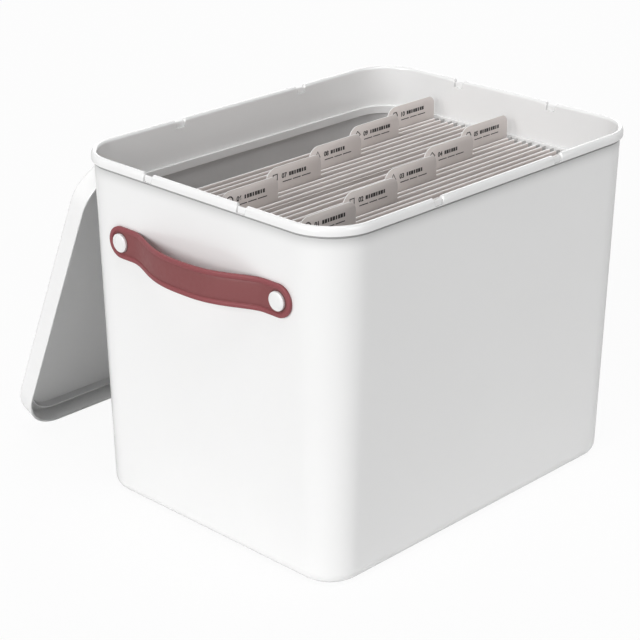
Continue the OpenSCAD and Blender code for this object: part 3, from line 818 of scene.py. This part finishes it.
rivets = grow(
    "strap_rivets", tree, rivet_sizes,
    [wall @ Vector((0.0, along, 0.0)) for wall, along in rivet_spots],
    [wall.to_3x3() @ Vector((1.0, 0.0, 0.0)) for wall, along in rivet_spots],
)
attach(rivets, "box")
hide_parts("rivets")

rolled_steel, inputs = make_group(
    "rolled_steel",
    {"Marks": 1800.0, "Rough Low": 0.3, "Rough High": 0.45},
    {"Height": "Float", "Roughness": "Float", "Cloud": "Float"},
)
marks = noise(rolled_steel, inputs["Marks"], 4.0, stretched(rolled_steel, 0.06))
wired(rolled_steel, "NodeGroupOutput", {
    "Height": marks,
    "Roughness": ranged(rolled_steel, marks, 0.3, 0.7, inputs["Rough Low"], inputs["Rough High"]),
    "Cloud": noise(rolled_steel, 120.0, 3.0, object_place(rolled_steel)),
})


def plated_steel(name, tones, marks, rough):
    """Plated steel with fine rolling marks and a cloudy plating."""
    material, tree = new_material(name)
    surface = in_group(tree, rolled_steel, {"Marks": marks, "Rough Low": rough[0], "Rough High": rough[1]})
    surfaced(tree, {
        "Base Color": mixed(tree, surface["Cloud"], *tones),
        "Metallic": 0.8,
        "Roughness": surface["Roughness"],
        "Normal": relief(tree, surface["Height"], 0.2, 0.03 * MM),
    })
    return material


def dress_node(name, material):
    """Gives a CAD node that keeps its own shape a material."""
    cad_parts[name].data.materials.clear()
    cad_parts[name].data.materials.append(material)


WASHER_GREY = ((0.42, 0.42, 0.43), (0.56, 0.56, 0.57))
washer_steel = plated_steel("washer_steel", WASHER_GREY, marks=1800.0, rough=(0.3, 0.45))
dress_node("rivet_washers", washer_steel)

# Suspension files: each is one folded card with a doubled hem along both top edges.
# A hem is folded round its steel bar; its fold is rubbed pale with a painted highlight on top, and the pocket hangs
# with a slight wave.
FILE_COUNT = 10
CARD = 0.7 * MM
BAR_THICKNESS = 1.0 * MM
BAR_GAP = 0.05 * MM
BAR_SPREAD = 8.7 * MM
HEM_HEIGHT = 14.7 * MM
HEM_THICKNESS = BAR_THICKNESS + 2 * (BAR_GAP + CARD)
HEM_EDGE = 0.2 * MM
HEM_REACH = 2.0 * MM
HEM_LAP = 1.0 * MM
FOLD_TURNS = (0, 20, 40, 52, 53, 66, 80, 90, 100, 114, 127, 128, 140, 160, 180)
FOLD_HIGHLIGHT_REACH = 0.256 * MM
WAVE_GROWTH = 120.0 * MM
WAVES = ((0.5 * MM, 14.0, 1.7), (0.3 * MM, 31.0, 0.9))
FILE_CARD = ((0.68, 0.62, 0.60), (0.76, 0.70, 0.675))
# Pale colour on the top of the folds: partly wear, partly a painted highlight.
FILE_FOLD_WEAR_AND_HIGHLIGHT = (0.97, 0.96, 0.95, 1.0)

card_face, inputs = make_group(
    "card_face", {"Fibre": 1500.0}, {"Height": "Float", "Roughness": "Float", "Tone": "Float"},
)
place = object_place(card_face)
flecks = noise(card_face, 340.0, 5.0, place)
clouds = ranged(card_face, noise(card_face, 14.0, 3.0, place), 0.3, 0.7, 0.1, 0.6)
tone = wired(card_face, "ShaderNodeMath", {0: flecks, 1: 0.35, 2: clouds}, operation="MULTIPLY_ADD")
wired(card_face, "NodeGroupOutput", {
    "Height": noise(card_face, inputs["Fibre"], 4.0, stretched(card_face, 0.35)),
    "Roughness": ranged(card_face, flecks, 0.3, 0.7, 0.68, 0.86),
    "Tone": tone.outputs[0],
})
worn_and_highlit_edge, inputs = make_group(
    "worn_and_highlit_edge", {"Face": FILE_FOLD_WEAR_AND_HIGHLIGHT, "Edge": FILE_FOLD_WEAR_AND_HIGHLIGHT, "Wear And Highlight": 0.0}, {"Colour": "Color"},
)
wear_and_highlight = ranged(worn_and_highlit_edge, inputs["Wear And Highlight"], 0.15, 0.85, 0.0, 1.0)
wired(worn_and_highlit_edge, "NodeGroupOutput", {"Colour": mixed(worn_and_highlit_edge, wear_and_highlight, inputs["Face"], inputs["Edge"])})


def card_stock(name, tones, edge, bump):
    """Matt card with a fibrous face; an attribute marks where its folds and edges are pale, from wear and, on the file
    folds, a painted highlight.
    """
    material, tree = new_material(name)
    surface = in_group(tree, card_face, {"Fibre": 1500.0})
    face = mixed(tree, surface["Tone"], *tones)
    worn = in_group(tree, worn_and_highlit_edge, {"Face": face, "Edge": edge, "Wear And Highlight": attribute(tree, "wear_and_highlight")})
    surfaced(tree, {
        "Base Color": worn["Colour"],
        "Roughness": surface["Roughness"],
        "Normal": relief(tree, surface["Height"], bump, 0.06 * MM),
        "Specular IOR Level": 0.25,
    })
    return material


def swept(profile, places, sway=None):
    """Points and faces of a closed profile of (y, z) run along X through the given places."""
    return capped([[(x, y + (sway(x, z) if sway else 0.0), z) for y, z in profile] for x in places])


def hem_profile(centre, top, foot):
    """A doubled hem seen from the end: straight sides and a rounded fold on top."""
    half = HEM_THICKNESS / 2
    profile = [(centre + half, foot + HEM_EDGE)]
    profile += [(centre + half * math.cos(a), top - half + half * math.sin(a)) for a in np.radians(FOLD_TURNS)]
    profile += [(centre - half, foot + HEM_EDGE), (centre - half + HEM_EDGE, foot), (centre + half - HEM_EDGE, foot)]
    return profile


file_card = card_stock("file_card", FILE_CARD, FILE_FOLD_WEAR_AND_HIGHLIGHT, bump=0.3)
for k in range(1, FILE_COUNT + 1):
    low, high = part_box(f"hanging_file_{k}")
    middle = (low.y + high.y) / 2
    join = high.z - HEM_HEIGHT + HEM_LAP
    outer = BAR_SPREAD / 2 - HEM_THICKNESS / 2 + CARD
    inner = outer - CARD
    fold_centre = low.z + outer
    fold = np.linspace(0.0, -math.pi, 13)
    levels = np.linspace(join, fold_centre, 9)
    profile = [(outer, z) for z in levels[:-1]]
    profile += [(outer * math.cos(a), fold_centre + outer * math.sin(a)) for a in fold]
    profile += [(-outer, z) for z in levels[::-1][1:]]
    profile += [(-inner, z) for z in levels[:-1]]
    profile += [(-inner * math.cos(a), fold_centre + inner * math.sin(a)) for a in fold]
    profile += [(inner, z) for z in levels[::-1][1:]]

    def sway(x, z):
        grown = min(1.0, max(0.0, (join - z) / WAVE_GROWTH))
        return sum(size * grown * math.sin(per_metre * x + per_file * k) for size, per_metre, per_file in WAVES)

    pocket_run = np.linspace(HEM_REACH - high.x, high.x - HEM_REACH, 33)
    points, faces = swept([(middle + y, z) for y, z in profile], pocket_run, sway)
    for side in (-1, 1):
        hem = hem_profile(middle + side * BAR_SPREAD / 2, high.z, high.z - HEM_HEIGHT)
        points, faces = add_part(points, faces, *swept(hem, np.linspace(-high.x, high.x, 9)))
    pocket = finish_mesh(f"folded_file_{k}", points, faces, file_card)
    # Painted highlight and wear: the top quarter millimetre of each fold is pale.
    store(pocket, "wear_and_highlight", [float(high.z - v.co.z < FOLD_HIGHLIGHT_REACH) for v in pocket.data.vertices])
    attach(pocket, f"file_{k}")
    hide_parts(f"hanging_file_{k}")

# Bars: two plated steel strips in each file, whose ends reach past the hem as hooks.
# They keep their CAD solids, in grey steel with fine rolling marks.
BAR_GREY = ((0.44, 0.43, 0.425), (0.54, 0.53, 0.525))
bar_steel = plated_steel("bar_steel", BAR_GREY, marks=1400.0, rough=(0.38, 0.5))
for k in range(1, FILE_COUNT + 1):
    dress_node(f"file_bars_{k}", bar_steel)

# Dividers: stiff cards with a printed index tab; the tabs step across the row in two runs of five.
# Each is cut from one sheet, with a wide round on the tab's near corner and a tighter one on the far
# corner, and its number, strokes, rules and mark are a thin layer of ink on the front.
DIVIDER_THICKNESS = 0.8 * MM
DIVIDER_EASE = 0.18 * MM
TAB_RUN = 5
TAB_WIDTH = 63.4 * MM
TAB_STEP = 65.0 * MM
TAB_INSET = 0.2 * MM
TAB_NEAR_ROUND = 11.0 * MM
TAB_FAR_ROUND = 8.0 * MM
EAR_REACH = 6.5 * MM
EAR_FOOT = frame_low.z + RAIL_THICKNESS + 0.35 * MM
SHOULDER = frame_high.z - 2.0 * MM
INK_HALF = 0.03 * MM
INK_LIFT = 0.035 * MM
NUMBER_SIZE = 5.6 * MM
NUMBER_BOLD = 0.035
MARK_RADII = (3.9 * MM, 2.8 * MM)
MARKS = ((40, 0), (4, 45), (3, 90), (4, 0), (6, 0))
# The rest of the print is in bare millimetres, in from the tab's near edge and down from its top.
NUMBER_PLACE = (17.8, 10.6)
MARK_PLACE = (10.4, 8.4)
STROKE_PLACE = (27.2, 8.7)
STROKE_STEP = 2.9
STROKE_WIDTHS = (1.7, 2.2, 2.7)
STROKE_HEIGHT = 3.2
RULES = ((18.8, 29.0), (30.4, 39.4), (40.8, 51.0))
RULE_DOWN = 13.9
RULE_HEIGHT = 0.8
DIVIDER_CARD = ((0.70, 0.645, 0.62), (0.77, 0.715, 0.69))
DIVIDER_EDGE = (0.96, 0.95, 0.94, 1.0)
INK = ((0.018, 0.017, 0.017), (0.05, 0.046, 0.044))

divider_card = card_stock("divider_card", DIVIDER_CARD, DIVIDER_EDGE, bump=0.25)
card_ink, tree = new_material("index_ink")
ink_wear = noise(tree, 900.0, 3.0, object_place(tree))
surfaced(tree, {"Base Color": mixed(tree, ink_wear, *INK), "Roughness": 0.6})


def arc(centre_x, centre_z, radius, start, stop, steps):
    angles = np.radians(np.linspace(start, stop, steps + 1))
    return [(centre_x + radius * math.cos(a), centre_z + radius * math.sin(a)) for a in angles]


def cut_sheet(name, shape, y):
    """A divider card with eased edges, cut from a shape of (x, z), anticlockwise seen from -Y."""
    flat = np.array(shape)
    ahead, behind = np.roll(flat, -1, 0) - flat, flat - np.roll(flat, 1, 0)
    ahead /= np.linalg.norm(ahead, axis=1)[:, None]
    behind /= np.linalg.norm(behind, axis=1)[:, None]
    inward = np.column_stack([-(ahead + behind)[:, 1], (ahead + behind)[:, 0]])
    inward /= np.maximum(np.linalg.norm(inward, axis=1), 1e-9)[:, None]
    half = DIVIDER_THICKNESS / 2
    rings = []
    for inset, offset in (
        (DIVIDER_EASE, -half),
        (0.0, DIVIDER_EASE - half),
        (0.0, half - DIVIDER_EASE),
        (DIVIDER_EASE, half),
    ):
        moved = flat + inward * inset
        rings.append(np.column_stack([moved[:, 0], np.full(len(moved), y + offset), moved[:, 1]]))
    piece = finish_mesh(name, *capped(rings), divider_card, sharp=50.0)
    on_edge = [float(abs(face.normal.y) < 0.9) for face in piece.data.polygons for _ in face.loop_indices]
    store(piece, "wear_and_highlight", on_edge, "CORNER")
    return piece


def plate(centre_x, centre_z, width, height, y):
    """A thin printed bar."""
    return block(
        (centre_x - width / 2, y - INK_HALF, centre_z - height / 2),
        (centre_x + width / 2, y + INK_HALF, centre_z + height / 2),
    )


def figure(text, size):
    """A bold number as a mesh in the XZ plane, its foot at the origin."""
    curve = bpy.data.curves.new("figure", "FONT")
    curve.body = text
    curve.size = size
    curve.extrude = INK_HALF
    curve.offset = NUMBER_BOLD * size
    holder = bpy.data.objects.new("figure", curve)
    bpy.context.scene.collection.objects.link(holder)
    bpy.context.view_layer.update()
    mesh = bpy.data.meshes.new_from_object(holder.evaluated_get(bpy.context.evaluated_depsgraph_get()))
    bpy.data.objects.remove(holder)
    return [(v.co.x, -v.co.z, v.co.y) for v in mesh.vertices], [tuple(f.vertices) for f in mesh.polygons]


def index_mark(kind, centre_x, centre_z, y):
    """A plain line drawn as a ring, square, triangle, diamond or hexagon."""
    corners, first = MARKS[kind]
    turns = [math.radians(first) + 2 * math.pi * i / corners for i in range(corners)]
    points = [
        (centre_x + radius * math.cos(a), y + depth, centre_z + radius * math.sin(a))
        for depth in (-INK_HALF, INK_HALF) for radius in MARK_RADII for a in turns
    ]
    n = corners
    faces = []
    for i in range(n):
        j = (i + 1) % n
        faces += [(i, j, n + j, n + i), (2 * n + j, 2 * n + i, 3 * n + i, 3 * n + j)]
        faces += [(j, i, 2 * n + i, 2 * n + j), (n + i, n + j, 3 * n + j, 3 * n + i)]
    return points, faces


for k in range(1, FILE_COUNT + 1):
    low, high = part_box(f"tab_divider_{k}")
    y = (low.y + high.y) / 2
    ear, top = high.x, high.z
    body = ear - EAR_REACH
    far = ear - TAB_INSET - TAB_STEP * (TAB_RUN - 1 - (k - 1) % TAB_RUN)
    near = far - TAB_WIDTH
    shape = [(-body, low.z), (body, low.z), (body, EAR_FOOT), (ear, EAR_FOOT), (ear, SHOULDER), (far, SHOULDER)]
    shape += arc(far - TAB_FAR_ROUND, top - TAB_FAR_ROUND, TAB_FAR_ROUND, 0, 90, 10)
    shape += arc(near + TAB_NEAR_ROUND, top - TAB_NEAR_ROUND, TAB_NEAR_ROUND, 90, 180, 14)
    shape += [(near, SHOULDER), (-ear, SHOULDER), (-ear, EAR_FOOT), (-body, EAR_FOOT)]
    divider = cut_sheet(f"index_divider_{k}", shape, y)
    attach(divider, f"divider_{k}")
    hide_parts(f"tab_divider_{k}")

    ink_y = y - DIVIDER_THICKNESS / 2 - INK_LIFT
    points, faces = figure(f"{k:02d}", NUMBER_SIZE)
    points = [(px + near + NUMBER_PLACE[0] * MM, py + ink_y, pz + top - NUMBER_PLACE[1] * MM) for px, py, pz in points]
    bars = []
    for stroke in range(6 + (3 * k) % 4):
        width = STROKE_WIDTHS[(stroke + k) % 3]
        bars.append((STROKE_PLACE[0] + STROKE_STEP * stroke, STROKE_PLACE[1], width, STROKE_HEIGHT))
    bars += [((start + stop) / 2, RULE_DOWN, stop - start, RULE_HEIGHT) for start, stop in RULES]
    for along, down, width, height in bars:
        bar = plate(near + along * MM, top - down * MM, width * MM, height * MM, ink_y)
        points, faces = add_part(points, faces, *bar)
    mark = index_mark((k - 1) % len(MARKS), near + MARK_PLACE[0] * MM, top - MARK_PLACE[1] * MM, ink_y)
    points, faces = add_part(points, faces, *mark)
    print_piece = finish_mesh(f"index_print_{k}", points, faces, card_ink, sharp=20.0)
    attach(print_piece, f"divider_{k}")

# Plain divider: one card with no tab, cut from the same stock.
# It hangs by its ears in the middle of the row.
low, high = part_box("plain_divider")
body = high.x - EAR_REACH
shape = [(-body, low.z), (body, low.z), (body, EAR_FOOT), (high.x, EAR_FOOT), (high.x, high.z)]
shape += [(-high.x, high.z), (-high.x, EAR_FOOT), (-body, EAR_FOOT)]
plain_card = cut_sheet("plain_divider_card", shape, 0.0)
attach(plain_card, "plain_card")
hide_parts("plain_divider")
